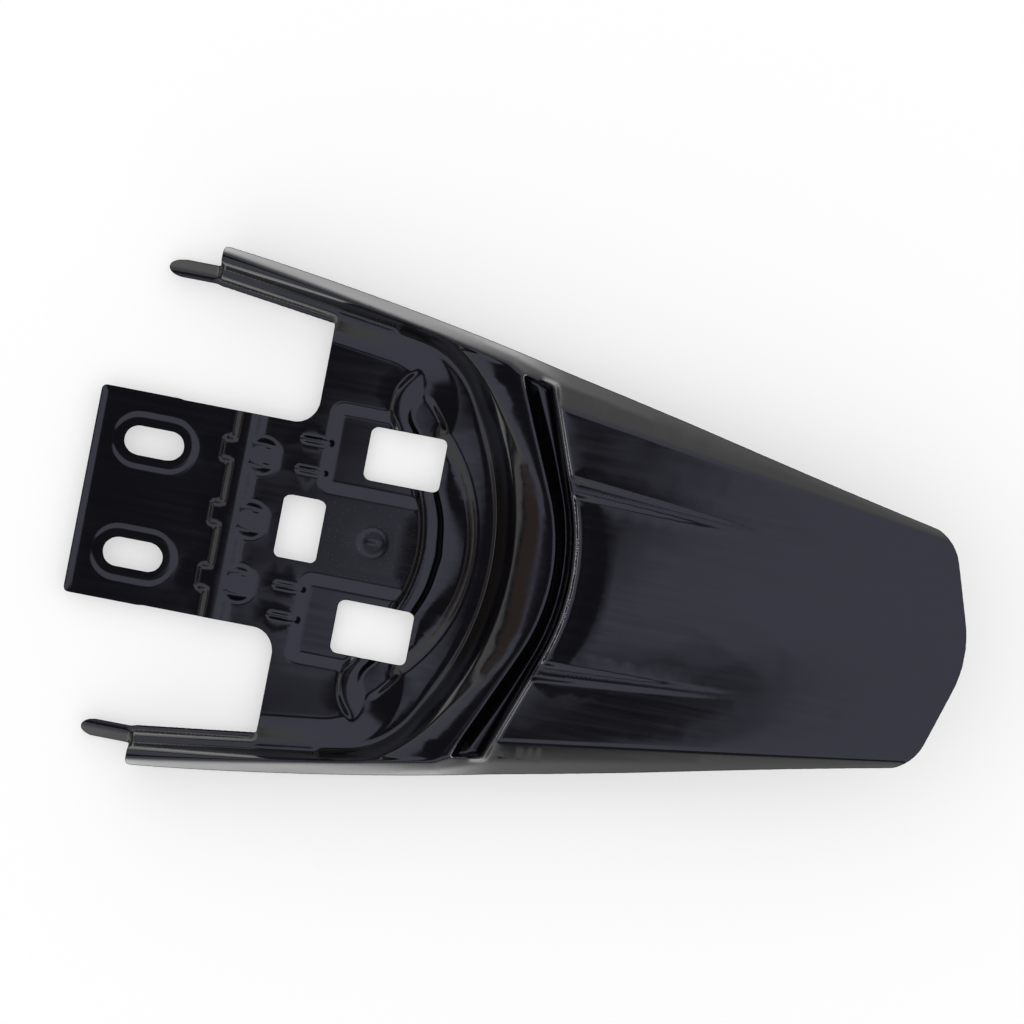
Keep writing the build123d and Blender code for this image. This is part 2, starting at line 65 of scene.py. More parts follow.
def cad_triangles(obj):
    """Corner points of every triangle of a CAD node, in millimetres."""
    mesh = obj.data
    mesh.calc_loop_triangles()
    points = np.zeros(len(mesh.vertices) * 3)
    mesh.vertices.foreach_get("co", points)
    points = np.round(points.reshape(-1, 3) / MM, 3)
    points, same = np.unique(points, axis=0, return_inverse=True)
    corners = np.zeros(len(mesh.loop_triangles) * 3, int)
    mesh.loop_triangles.foreach_get("vertices", corners)
    return points, same.reshape(-1)[corners.reshape(-1, 3)]


points, faces = cad_triangles(cad_fender)
low = points.min(0)[:2] - MARGIN * PITCH
size = np.ceil((points.max(0)[:2] - low) / PITCH).astype(int) + MARGIN
print("CAD triangles:", len(faces), "height map:", size)

# %% [markdown]
# ### Two height maps
# Each triangle is laid onto the grid, and every sample keeps the highest and the lowest height found.

# %% Lay the triangles onto the grid


def height_maps():
    top = np.full(tuple(size), -np.inf)
    bottom = np.full(tuple(size), np.inf)
    for a, b, c in points[faces]:
        u, v = b[:2] - a[:2], c[:2] - a[:2]
        area = u[0] * v[1] - u[1] * v[0]
        if abs(area) < 1e-9:
            continue
        corners = np.array([a, b, c])[:, :2]
        i0, j0 = np.ceil((corners.min(0) - low) / PITCH - 1e-6).astype(int)
        i1, j1 = np.floor((corners.max(0) - low) / PITCH + 1e-6).astype(int)
        if i1 < i0 or j1 < j0:
            continue
        x = low[0] + PITCH * np.arange(i0, i1 + 1)[:, None] - a[0]
        y = low[1] + PITCH * np.arange(j0, j1 + 1)[None, :] - a[1]
        s = (x * v[1] - y * v[0]) / area
        t = (y * u[0] - x * u[1]) / area
        inside = (s >= -1e-6) & (t >= -1e-6) & (s + t <= 1 + 1e-6)
        z = a[2] + s * (b[2] - a[2]) + t * (c[2] - a[2])
        place = (slice(i0, i1 + 1), slice(j0, j1 + 1))
        top[place] = np.where(inside, np.maximum(top[place], z), top[place])
        bottom[place] = np.where(inside, np.minimum(bottom[place], z), bottom[place])
    return top, bottom


top_raw, bottom_raw = height_maps()
solid = np.isfinite(top_raw)
print("samples on the part:", int(solid.sum()))

# %% [markdown]
# ### Creases of the CAD
# The lines where two CAD faces meet at an angle are needed twice: as measuring lines for the shapes
# below, and later as rows of points in the new skin.

# %% Find the sharp edges


def sharp_edges(least_angle):
    """Edges between two CAD triangles that meet at an angle, with their end points."""
    corner = points[faces]
    normal = np.cross(corner[:, 1] - corner[:, 0], corner[:, 2] - corner[:, 0])
    normal /= np.maximum(np.linalg.norm(normal, axis=1), 1e-12)[:, None]
    edges = np.sort(np.concatenate([faces[:, [0, 1]], faces[:, [1, 2]], faces[:, [2, 0]]]), axis=1)
    owner = np.tile(np.arange(len(faces)), 3)
    order = np.lexsort((edges[:, 1], edges[:, 0]))
    edges, owner = edges[order], owner[order]
    pair = np.nonzero((edges[1:] == edges[:-1]).all(1))[0]
    angle = np.arccos(np.clip((normal[owner[pair]] * normal[owner[pair + 1]]).sum(1), -1, 1))
    return points[edges[pair[angle > math.radians(least_angle)]]]


creases = sharp_edges(9)
print("crease pieces:", len(creases))

# %% [markdown]
# ### The groove's slanted floor
# The chevron groove looks black all the way down in the photograph. A level floor would mirror the
# roof and go grey. A floor that falls towards the tail mirrors the groove's own wall instead, and it
# also sheds water. So the samples of the CAD's level floor are lowered, more so towards the rear, and
# the underside with them. The samples are told by their height, which also catches a thin strip of
# each skirt beside the groove's ends. It shows there as a few fine ribs.

# %% Lower the groove's floor
GROOVE_FLOOR = 37.5  # mm, height of the CAD's level floor
GROOVE_APEX, GROOVE_RADIUS, GROOVE_SWEEP = 211.0, 100.0, math.radians(24.2)  # front edge of the floor
GROOVE_WIDTH = 5.0
GROOVE_FALL = 2.4  # mm from the floor's front to its rear edge
GROOVE_REGION = (150, 220)  # mm along x
SAME_HEIGHT = 0.05  # mm


def chevron(y):
    """x of the floor's front edge: an arc in the middle, straight legs beyond it."""
    turn = GROOVE_RADIUS * math.sin(GROOVE_SWEEP)
    arc = GROOVE_RADIUS - np.sqrt(GROOVE_RADIUS**2 - np.minimum(np.abs(y), turn) ** 2)
    return GROOVE_APEX - arc - np.maximum(np.abs(y) - turn, 0) * math.tan(GROOVE_SWEEP)


grid_x = low[0] + PITCH * np.arange(size[0])[:, None] + np.zeros(size[1])
grid_y = low[1] + PITCH * np.arange(size[1])[None, :] + np.zeros(size[0])[:, None]
top_cad = top_raw.copy()
on_floor = np.abs(top_raw - GROOVE_FLOOR) < SAME_HEIGHT
on_floor &= (grid_x > GROOVE_REGION[0]) & (grid_x < GROOVE_REGION[1])
fall = GROOVE_FALL * np.clip((grid_x - chevron(grid_y)) / GROOVE_WIDTH, 0, 1)
top_raw = np.where(on_floor, top_raw - fall, top_raw)
bottom_raw = np.where(on_floor, bottom_raw - fall, bottom_raw)
print("groove floor down to", round(float(top_raw[on_floor].min()), 2), "mm")

# %% [markdown]
# ### Softer flanks on the sunk fields
# The photograph shows the flanks of the two sunk fields as even grey bands, so they lean back far
# enough to mirror the room above the pocket's wall. Their floor comes up a little, which lays the
# flanks flatter and leaves their edges in place.

# %% Raise the sunk fields' floor
DECK_TOP = 2.5  # mm, height of the pan
FIELD_X, FIELD_Y = (84.0, 141.0), (20.0, 67.0)
FIELD_DEPTH = 4.0  # mm, deeper than any sample of the fields
FIELD_LIFT = 0.2  # share of the depth

field = (grid_x > FIELD_X[0]) & (grid_x < FIELD_X[1])
field &= (np.abs(grid_y) > FIELD_Y[0]) & (np.abs(grid_y) < FIELD_Y[1])
field &= (top_raw < DECK_TOP) & (top_raw > DECK_TOP - FIELD_DEPTH)
lift = np.where(field, FIELD_LIFT * (DECK_TOP - np.where(solid, top_raw, 0)), 0)
top_raw, bottom_raw = top_raw + lift, bottom_raw + lift
print("field floor raised by up to", round(float(lift.max()), 2), "mm")

# %% [markdown]
# ### The foot of the seat pocket's wall
# Round the back of the pan runs a narrow slope, which the photograph shows as one even grey band, and
# behind it the wall rises out of a wide black curve. The CAD has them as facets. Here the slope gets
# one even tilt, measured from the shelf's edge above it, and the wall's foot a large hollow rounding.

# %% Shape the wall's foot
BAND_TILT = math.tan(math.radians(42.8))
SHELF_HEIGHT, SHELF_SLOPE = 16.2, -0.055  # mm at x=0, and fall towards the tail
BAND_REGION = (120.0, 171.0)  # mm along x
BAND_HEIGHTS = (1.0, 9.5)  # mm
ON_EDGE = 0.03  # mm

off_shelf = np.abs(creases[:, :, 2] - SHELF_HEIGHT - SHELF_SLOPE * creases[:, :, 0]).max(1)
shelf_edge = creases[(off_shelf < ON_EDGE) & (creases[:, :, 0].min(1) > BAND_REGION[0])]
share = np.linspace(0, 1, 12)[:, None, None]  # twelve points on each piece of the edge
shelf_edge = (shelf_edge[:, 0] + share * (shelf_edge[:, 1] - shelf_edge[:, 0])).reshape(-1, 3)
slope = (grid_x > BAND_REGION[0]) & (grid_x < BAND_REGION[1])
slope &= (top_raw > BAND_HEIGHTS[0]) & (top_raw < BAND_HEIGHTS[1])
for part in np.array_split(np.argwhere(slope), 40):  # in parts, to save memory
    away = np.linalg.norm(low + PITCH * part[:, None] - shelf_edge[None, :, :2], axis=2)
    line = shelf_edge[away.argmin(1), 2] - BAND_TILT * away.min(1)
    top_raw[tuple(part.T)] = np.maximum(top_raw[tuple(part.T)], line)
print("shelf edge points:", len(shelf_edge), "raised samples:", int((top_raw > top_cad + 0.01).sum()))

# %% [markdown]
# ### Rounding by a local fit
# Around every sample a plane is fitted to its neighbours, near ones counting most. Its height is the
# rounded height and its tilt is the surface's slope, which later gives the shading its direction. A
# fit keeps straight flanks where they are right up to the part's outline, where an average would lift
# them. The foot of the pocket's wall and the valley behind the groove's lip get wider roundings.

# %% Round the maps
FOOT_HEIGHTS = (6.4, 31.0)  # mm, heights that the wall's hollow rounding covers
FOOT_REGION = (110, 187)  # mm along x
FOOT_ROUNDING, FOOT_SOFTNESS = 2.0, 1.0  # mm
VALLEY_FROM, VALLEY_TO, VALLEY_SIDE = 13.0, 30.0, 36.0  # mm behind the groove's front, and to each side
VALLEY_ROUNDING, VALLEY_SOFTNESS = 2.4, 2.0  # mm


def spread(field, powers, sigma):
    """Sum of a field times a bell curve and powers of the distance, along both directions."""
    reach = int(np.ceil(3 * sigma / PITCH))
    steps = np.arange(-reach, reach + 1)
    bell = np.exp(-0.5 * (steps * PITCH / sigma) ** 2)
    for axis, power in enumerate(powers):
        kernel = bell * (steps * PITCH) ** power
        total = np.zeros_like(field)
        for step, share in zip(steps, kernel):
            total += share * np.roll(field, -step, axis)
        field = total
    return field


def fit_plane(height, weight, sigma):
    """Rounded height and its slopes along x and y."""
    filled = np.where(weight > 0, height, 0) * weight
    m = {p: spread(weight, p, sigma) for p in ((0, 0), (1, 0), (0, 1), (2, 0), (1, 1), (0, 2))}
    z = [spread(filled, p, sigma) for p in ((0, 0), (1, 0), (0, 1))]
    grid = np.empty(height.shape + (3, 3))
    rows = (((0, 0), (1, 0), (0, 1)), ((1, 0), (2, 0), (1, 1)), ((0, 1), (1, 1), (0, 2)))
    for i, row in enumerate(rows):
        for j, p in enumerate(row):
            grid[..., i, j] = m[p]
    known = m[0, 0] > 1e-3 * m[0, 0].max()
    grid[~known] = np.eye(3)
    grid += 1e-6 * np.eye(3)
    found = np.linalg.solve(grid, np.stack(z, -1)[..., None])[..., 0]
    found[~known] = 0
    return found, m[0, 0] / m[0, 0].max()


def soft_mask(mask, softness):
    """A mask with a soft edge, from 0 to 1."""
    return spread(mask.astype(float), (0, 0), softness) / spread(np.ones(mask.shape), (0, 0), softness)


weight = solid.astype(float)
_, cover = fit_plane(top_raw, weight, EDGE_ROUNDING)
hollow, _ = fit_plane(top_raw, weight, FOOT_ROUNDING)
foot = (top_raw > FOOT_HEIGHTS[0]) & (top_raw < FOOT_HEIGHTS[1])
foot = soft_mask(foot & (grid_x > FOOT_REGION[0]) & (grid_x < FOOT_REGION[1]), FOOT_SOFTNESS)
top_raw = np.where(solid, top_raw + foot * np.maximum(hollow[..., 0] - top_raw, 0), top_raw)
behind_groove = grid_x - chevron(grid_y)
valley = (behind_groove > VALLEY_FROM) & (behind_groove < VALLEY_TO) & (np.abs(grid_y) < VALLEY_SIDE)
valley = soft_mask(valley, VALLEY_SOFTNESS)
wide, _ = fit_plane(top_raw, weight, VALLEY_ROUNDING)
top_raw = np.where(solid, top_raw + valley * (wide[..., 0] - top_raw), top_raw)
top, _ = fit_plane(top_raw, weight, SKIN_ROUNDING)
bottom, _ = fit_plane(bottom_raw, weight, SKIN_ROUNDING)
print("top from", round(float(top_raw[solid].min()), 2), "to", round(float(top_raw[solid].max()), 2), "mm")


def sample(field, xy):
    """Value of a map between its samples."""
    place = (np.asarray(xy) - low) / PITCH
    i, j = np.clip(np.floor(place).astype(int), 0, np.array(field.shape[:2]) - 2).T
    s, t = (place - np.stack([i, j], 1)).T
    if field.ndim == 3:
        s, t = s[:, None], t[:, None]
    near = field[i, j] * (1 - t) + field[i, j + 1] * t
    far = field[i + 1, j] * (1 - t) + field[i + 1, j + 1] * t
    return near * (1 - s) + far * s


# %% [markdown]
# ### The outline
# The part's outer edge and its holes are the line where the bell curve is half on the part. Following
# that line cell by cell gives closed loops without stairs.

# %% Follow the outline


def outline_loops(level):
    """Closed loops of the line where the cover equals a level, in millimetres."""
    above = cover > level
    cells = above[:-1, :-1] + 2 * above[1:, :-1] + 4 * above[1:, 1:] + 8 * above[:-1, 1:]
    crossings, links = {}, {}
    corner = ((0, 0), (1, 0), (1, 1), (0, 1))

    def crossing(i, j, side):
        (a, b), (c, d) = corner[side], corner[(side + 1) % 4]
        p, q = sorted(((i + a, j + b), (i + c, j + d)))
        if (p, q) not in crossings:
            share = (level - cover[p]) / (cover[q] - cover[p])
            crossings[p, q] = low + PITCH * (np.array(p) + share * (np.array(q) - np.array(p)))
        return p, q

    for i, j in np.argwhere((cells > 0) & (cells < 15)):
        bits = [bool(above[i + a, j + b]) for a, b in corner]
        enter = [s for s in range(4) if bits[s] and not bits[(s + 1) % 4]]
        leave = [s for s in range(4) if not bits[s] and bits[(s + 1) % 4]]
        for s in enter:
            other = min(leave, key=lambda k: (k - s) % 4)
            links[crossing(i, j, s)] = crossing(i, j, other)
    loops = []
    while links:
        start = key = next(iter(links))
        loop = []
        while key in links:
            loop.append(crossings[key])
            key = links.pop(key)
        loops.append(np.array(loop))
    return loops


def even_steps(loop, straight, bent):
    """Thins a loop: long steps where it runs straight, short ones where it bends."""
    closed = np.vstack([loop, loop[:1]])
    run = np.concatenate([[0], np.cumsum(np.linalg.norm(np.diff(closed, axis=0), axis=1))])
    fine = np.arange(0, run[-1], PITCH)
    line = np.stack([np.interp(fine, run, closed[:, k]) for k in (0, 1)], 1)
    ahead, behind = np.roll(line, -5, 0) - line, line - np.roll(line, 5, 0)
    turn = np.abs(ahead[:, 0] * behind[:, 1] - ahead[:, 1] * behind[:, 0])
    turn /= np.linalg.norm(ahead, axis=1) * np.linalg.norm(behind, axis=1)
    turn = np.max([np.roll(turn, k) for k in range(-4, 5)], axis=0)
    step = np.interp(turn, [0.01, 0.25], [straight, bent])
    kept, travelled = [], straight
    for k in range(len(line)):
        travelled += PITCH
        if travelled >= step[k]:
            kept.append(k)
            travelled = 0
    return line[kept]


RIM_STEPS = (1.6, 0.5)  # mm, where the outline runs straight and where it bends
SHORTEST_LOOP = 20  # crossings
inner_level = 0.5 + 0.5 * math.erf(RIM_INSET / (EDGE_ROUNDING * math.sqrt(2)))
loops = [even_steps(loop, *RIM_STEPS) for loop in outline_loops(inner_level) if len(loop) > SHORTEST_LOOP]
print("outline loops:", [len(loop) for loop in loops])

# %% [markdown]
# ### Rows of points along the creases
# A rounded crease needs several narrow strips side by side, and the flat fields between creases need
# hardly any points. So each sharp edge of the CAD mesh gets a row of points on it and rows beside it.

# %% Place points along the creases
SHORTEST_EDGE = 0.15  # mm
OFF_MAP = 0.5  # mm, edges further from a height map belong to the other side
CLOSEST = 0.3  # mm between two points


def crease_points(creases, raw, along, across):
    """Rows of points along the creases that lie on one of the two height maps."""
    rows = []
    for a, b in creases:
        way = b[:2] - a[:2]
        length = np.linalg.norm(way)
        if length < SHORTEST_EDGE:
            continue
        i, j = np.round(((a + b)[:2] / 2 - low) / PITCH).astype(int)
        near = raw[i - 1 : i + 2, j - 1 : j + 2]
        if np.abs(near - (a + b)[2] / 2).min() > OFF_MAP:
            continue
        count = max(1, round(length / along))
        share = (np.arange(count) + 0.5)[:, None] / count
        side = np.array([-way[1], way[0]]) / length
        rows.append(np.concatenate([a[:2] + share * way + side * d for d in across]))
    return np.concatenate(rows)


def thin_out(xy, gap):
    """Keeps at most one point per small square."""
    _, first = np.unique(np.round(xy / gap).astype(int), axis=0, return_index=True)
    return xy[np.sort(first)]


def field_points(busy, step, clear):
    """Points of a wide grid that keep clear of the creases and of the outline."""
    nx, ny = (size * PITCH / step).astype(int)
    grid = low + step * np.stack(np.meshgrid(np.arange(nx), np.arange(ny), indexing="ij"), -1).reshape(-1, 2)
    grid[:, 1] += step / 2 * (np.round((grid[:, 0] - low[0]) / step) % 2)
    taken = {tuple(k) for k in np.round(busy / clear).astype(int)}
    key = np.round(grid / clear).astype(int)
    free = [
        k
        for k, (i, j) in enumerate(key)
        if not any((i + a, j + b) in taken for a in (-1, 0, 1) for b in (-1, 0, 1))
    ]
    return grid[free]


# %% [markdown]
# ### One closed skin
# The upper and the lower skin are triangulated on their own points but share the same outline. Three
# narrow bands join them and carry the rounding of the outer edge.

# %% Close the skin
CLEAR_OF_RIM = 0.12  # share of the cover that keeps inner points off the outline
RESHAPED_BY = 0.04  # mm, where the map differs from the CAD by more, the skin gets more points


def skin(raw, creases, along, across, field_step, reshaped):
    """Triangulates one side; the outline's points come first."""
    rows = crease_points(creases, raw, along, across)
    rim = np.concatenate(loops)
    xy = np.concatenate([rim, rows, low + PITCH * reshaped])
    xy = np.concatenate([xy, field_points(xy, field_step, field_step / 2)])
    inner = xy[len(rim) :]
    inner = inner[sample(cover, inner) > inner_level + CLEAR_OF_RIM]
    inner = thin_out(inner, CLOSEST)
    xy = np.concatenate([rim, inner])
    edges, start = [], 0
    for loop in loops:
        edges += [(start + k, start + (k + 1) % len(loop)) for k in range(len(loop))]
        start += len(loop)
    out = delaunay_2d_cdt([Vector(p) for p in xy], edges, [], 0, 1e-5, True)
    back = [ids[0] if ids else -1 for ids in out[3]]
    triangles = np.array([[back[k] for k in triangle] for triangle in out[2]])
    triangles = triangles[(triangles >= 0).all(1)]
    middle = xy[triangles].mean(1)
    return xy, triangles[sample(cover, middle) > inner_level - 0.02]


changed = np.abs(np.where(solid, top_raw - top_cad, 0)) > RESHAPED_BY
beside = [np.roll(changed, step, axis) for axis in (0, 1) for step in (-1, 1)]
changed = np.max([changed, *beside], axis=0)
reshaped = np.argwhere(changed)
reshaped = reshaped[(reshaped % 2 == 0).all(1)]  # every second sample both ways
lower_rows = (0, -0.45, 0.45, -1.0, 1.0)  # mm to each side of a crease
upper_rows = (*lower_rows, -1.8, 1.8)
upper_xy, upper_faces = skin(top_cad, creases, 2.2, upper_rows, 5.0, reshaped)
nothing_reshaped = reshaped[:0]
lower_xy, lower_faces = skin(bottom_raw, creases, 1.8, lower_rows, 5.0, nothing_reshaped)
print("upper triangles:", len(upper_faces), "lower triangles:", len(lower_faces))


ROLL_SIDE, ROLL_DOWN = 0.7, 0.3  # where the rounded edge's middle row lies, as shares of the inset
STEEPEST = 0.2  # least upward share of a normal, so that a steep rim doesn't sink too far
THINNEST = 0.2  # mm of edge that stays between both sides


def build_fender():
    """Joins both skins and the bands between them; returns the mesh and one normal per vertex."""
    rim = np.concatenate(loops)
    count = len(rim)
    tilt_top, tilt_bottom = sample(top, upper_xy), sample(bottom, lower_xy)
    upper = np.column_stack([upper_xy, tilt_top[:, 0]])
    lower = np.column_stack([lower_xy, tilt_bottom[:, 0]])
    up = np.column_stack([-tilt_top[:, 1:], np.ones(len(upper))])
    down = np.column_stack([tilt_bottom[:, 1:], -np.ones(len(lower))])
    grad = np.stack(np.gradient(cover, PITCH), -1)
    out = -sample(grad, rim)
    out /= np.linalg.norm(out, axis=1)[:, None]
    up /= np.linalg.norm(up, axis=1)[:, None]
    down /= np.linalg.norm(down, axis=1)[:, None]
    side = np.column_stack([out, np.zeros(count)])
    bands, normals = [], []
    for skin_points, skin_normals, sign in ((upper, up, 1), (lower, down, -1)):
        edge, normal = skin_points[:count], skin_normals[:count]
        slant = (normal[:, :2] * out).sum(1)
        drop = sign * RIM_INSET
        middle = edge + side * RIM_INSET * ROLL_SIDE - np.array([0, 0, ROLL_DOWN * drop])
        last = edge + side * RIM_INSET - np.array([0, 0, 1.0]) * drop
        sink = sign * RIM_INSET * np.maximum(slant, 0) / np.maximum(np.abs(normal[:, 2]), STEEPEST)
        middle[:, 2] -= ROLL_SIDE * sink
        last[:, 2] -= sink
        between = normal + side
        between /= np.linalg.norm(between, axis=1)[:, None]
        bands.append((middle, last))
        normals.append((between, side))
    top_last, bottom_last = bands[0][1], bands[1][1]
    closed = top_last[:, 2] - bottom_last[:, 2] < THINNEST
    mean = (top_last[:, 2] + bottom_last[:, 2]) / 2
    top_last[closed, 2] = mean[closed] + THINNEST / 2
    bottom_last[closed, 2] = mean[closed] - THINNEST / 2
    blocks = [upper, bands[0][0], top_last, bottom_last, bands[1][0], lower]
    all_normals = np.concatenate([up, normals[0][0], side, side, normals[1][0], down])
    starts = np.cumsum([0] + [len(b) for b in blocks])
    quads = []
    for a, b in zip((starts[0], *starts[1:5]), (*starts[1:5], starts[5])):
        first = 0
        for loop in loops:
            k = np.arange(len(loop))
            n = (k + 1) % len(loop)
            quads.append(np.stack([a + first + k, a + first + n, b + first + n, b + first + k], 1))
            first += len(loop)
    quads = np.concatenate(quads)
    triangles = np.concatenate([quads[:, [0, 1, 2]], quads[:, [0, 2, 3]]])
    everything = np.concatenate([upper_faces, lower_faces[:, ::-1] + starts[5], triangles])
    inside_box = np.clip(np.concatenate(blocks), points.min(0), points.max(0))
    return inside_box, everything, all_normals


vertices, triangles, normals = build_fender()
mesh = bpy.data.meshes.new("moulded_fender")
mesh.from_pydata((vertices * MM).tolist(), [], triangles.tolist())
mesh.validate()
mesh.update()
fender = bpy.data.objects.new("moulded_fender", mesh)
bpy.context.scene.collection.objects.link(fender)
mesh.shade_smooth()
mesh.normals_split_custom_set_from_vertices(normals.tolist())
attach(fender, "root")
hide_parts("fender")
print("fender mesh:", len(mesh.vertices), "vertices,", len(mesh.polygons), "faces")

# %% [markdown]
# ## Gloss black plastic
# The part is injection-moulded ABS or polypropylene, coloured right through with carbon black. The
# tool is polished, so the skin is glossy. Such a black gives back almost none of the light that
# enters it. What the eye sees is the mirror image of the room, at about one twenty-fifth of its
# brightness, on every face that looks towards something bright. So the material is a base near to
# black under an ordinary plastic skin, and its details are changes of roughness and of height: the
# orange peel of a moulded skin, wiping marks, and the pan's middle, rubbed dull by the seat.

# %% Gloss black plastic


def linear(hex_colour):
    """sRGB hex colour as linear RGBA."""
    channels = [int(hex_colour[k : k + 2], 16) / 255 for k in (1, 3, 5)]
    return [c / 12.92 if c <= 0.04045 else ((c + 0.055) / 1.055) ** 2.4 for c in channels] + [1.0]


def add_node(tree, kind, inputs=(), **settings):
    """Adds a node, sets it up, and fills each input from a value or from another node's output."""
    node = tree.nodes.new(kind)
    for name, value in settings.items():
        setattr(node, name, value)
    for socket, value in dict(inputs).items():
        if isinstance(value, bpy.types.NodeSocket):
            tree.links.new(value, node.inputs[socket])
        else:
            node.inputs[socket].default_value = value
    return node


CARBON_BLACK = "#040405"
DUST = "#6a6a6e"
gloss_black = bpy.data.materials.new("gloss_black_plastic")
gloss_black.use_nodes = True
plastic = gloss_black.node_tree
skin_shader = plastic.nodes["Principled BSDF"]
skin_shader.inputs["IOR"].default_value = 1.5
place = add_node(plastic, "ShaderNodeTexCoord").outputs["Object"]
print("base reflects", round(linear(CARBON_BLACK)[0], 4), "of the light, the skin about 0.04")

# %% [markdown]
# ### The moulded skin's height
# Orange peel is a wave a few millimetres long and about a micrometre high. It bends the edges of
# reflections and is not seen anywhere else. A bump is right for it, since no silhouette could show it.

# %% Orange peel
PEEL_LENGTH = 5.0  # mm from one swelling to the next
PEEL_HEIGHT = 0.004  # mm

peel = add_node(
    plastic, "ShaderNodeTexNoise", {"Vector": place, "Scale": 1 / (PEEL_LENGTH * MM), "Detail": 1.0}
)
peel_bump = add_node(
    plastic, "ShaderNodeBump", {"Height": peel.outputs["Fac"], "Distance": PEEL_HEIGHT * MM, "Strength": 1.0}
)
plastic.links.new(peel_bump.outputs["Normal"], skin_shader.inputs["Normal"])
print("orange peel:", PEEL_LENGTH, "mm long,", PEEL_HEIGHT, "mm high")

# %% [markdown]
# ### Roughness: wiping marks and the worn middle of the pan
# The polished skin is smooth, and cloth wipes leave long faint streaks in it. The seat's foam rubs the
# middle of the pan, and there the skin turns matte and grey, with fine bright specks of dust in it.
# The specks are small spots of the base colour, since dust lies on the skin and has no gloss.

# %% Wiping marks, worn pan and dust
SKIN_ROUGHNESS = 0.13
WIPED_SMOOTHER, WIPED_ROUGHER = 0.02, 0.05  # how far a wiping mark changes the roughness
STREAK_LENGTH, STREAK_WIDTH = 60.0, 3.0  # mm
WORN_FROM, WORN_TO = (84.0, -22.0, -9.0), (142.0, 22.0, 4.0)  # mm, corners of the rubbed part of the pan
WORN_FADE = 4.0  # mm
WORN_ROUGHNESS = 0.42
SPECK_GAP = 1.6  # mm, real dust is finer and would not show
SPECK_CORE, SPECK_RIM = 0.08, 0.14  # radii as shares of the gap

stretched = add_node(
    plastic,
    "ShaderNodeVectorMath",
    {0: place, 1: (1 / (STREAK_LENGTH * MM), 1 / (STREAK_WIDTH * MM), 1 / (STREAK_LENGTH * MM))},
    operation="MULTIPLY",
)
streaks = add_node(
    plastic, "ShaderNodeTexNoise", {"Vector": stretched.outputs[0], "Scale": 1.0, "Detail": 3.0}
)
wiped = add_node(
    plastic,
    "ShaderNodeMapRange",
    {
        "Value": streaks.outputs["Fac"],
        1: 0.35,
        2: 0.7,
        3: SKIN_ROUGHNESS - WIPED_SMOOTHER,
        4: SKIN_ROUGHNESS + WIPED_ROUGHER,
    },
)
axes = add_node(plastic, "ShaderNodeSeparateXYZ", {"Vector": place}).outputs
worn = None
for axis, start, end in zip(range(3), WORN_FROM, WORN_TO):
    middle, reach = (start + end) / 2 * MM, (end - start) / 2 * MM
    offset = add_node(plastic, "ShaderNodeMath", {0: axes[axis], 1: middle}, operation="SUBTRACT")
    away = add_node(plastic, "ShaderNodeMath", {0: offset.outputs[0]}, operation="ABSOLUTE")
    inside = add_node(
        plastic,
        "ShaderNodeMapRange",
        {"Value": away.outputs[0], 1: reach - WORN_FADE * MM, 2: reach, 3: 1.0, 4: 0.0},
        interpolation_type="SMOOTHSTEP",
    ).outputs[0]
    if worn is not None:
        inside = add_node(plastic, "ShaderNodeMath", {0: worn, 1: inside}, operation="MULTIPLY").outputs[0]
    worn = inside
rubbed = add_node(
    plastic, "ShaderNodeMapRange", {"Value": worn, 1: 0.0, 2: 1.0, 3: 0.0, 4: WORN_ROUGHNESS - SKIN_ROUGHNESS}
)
roughness = add_node(plastic, "ShaderNodeMath", {0: wiped.outputs[0], 1: rubbed.outputs[0]}, operation="ADD")
plastic.links.new(roughness.outputs[0], skin_shader.inputs["Roughness"])
dust = add_node(plastic, "ShaderNodeTexVoronoi", {"Vector": place, "Scale": 1 / (SPECK_GAP * MM)})
speck = add_node(
    plastic,
    "ShaderNodeMapRange",
    {"Value": dust.outputs["Distance"], 1: SPECK_CORE, 2: SPECK_RIM, 3: 1.0, 4: 0.0},
)
on_worn = add_node(plastic, "ShaderNodeMath", {0: speck.outputs[0], 1: worn}, operation="MULTIPLY")
dusty = add_node(plastic, "ShaderNodeMix", {"Factor": on_worn.outputs[0]}, data_type="RGBA")
dusty.inputs[6].default_value = linear(CARBON_BLACK)
dusty.inputs[7].default_value = linear(DUST)
plastic.links.new(dusty.outputs[2], skin_shader.inputs["Base Color"])
mesh.materials.append(gloss_black)
print("roughness", SKIN_ROUGHNESS, "on the skin and", WORN_ROUGHNESS, "where the seat rubs")

# %% [markdown]
# ## Floor, camera and light
# The floor is white paper. It takes the part's shadow with one part of its white and glows by itself
# with the rest, for the camera and for reflections only, so that the glow adds no light to the part.

# %% White paper floor
LOWEST = float(vertices[:, 2].min()) * MM
GLOW = 0.45  # share of the paper's white that needs no light


def flat_card(name, corners, material):
    """A one-face object that belongs to the studio and not to the part."""
    card_mesh = bpy.data.meshes.new(name)
    card_mesh.from_pydata(corners, [], [(0, 1, 2, 3)])
    card_mesh.materials.append(material)
    card = bpy.data.objects.new(name, card_mesh)
    bpy.context.scene.collection.objects.link(card)
    return card


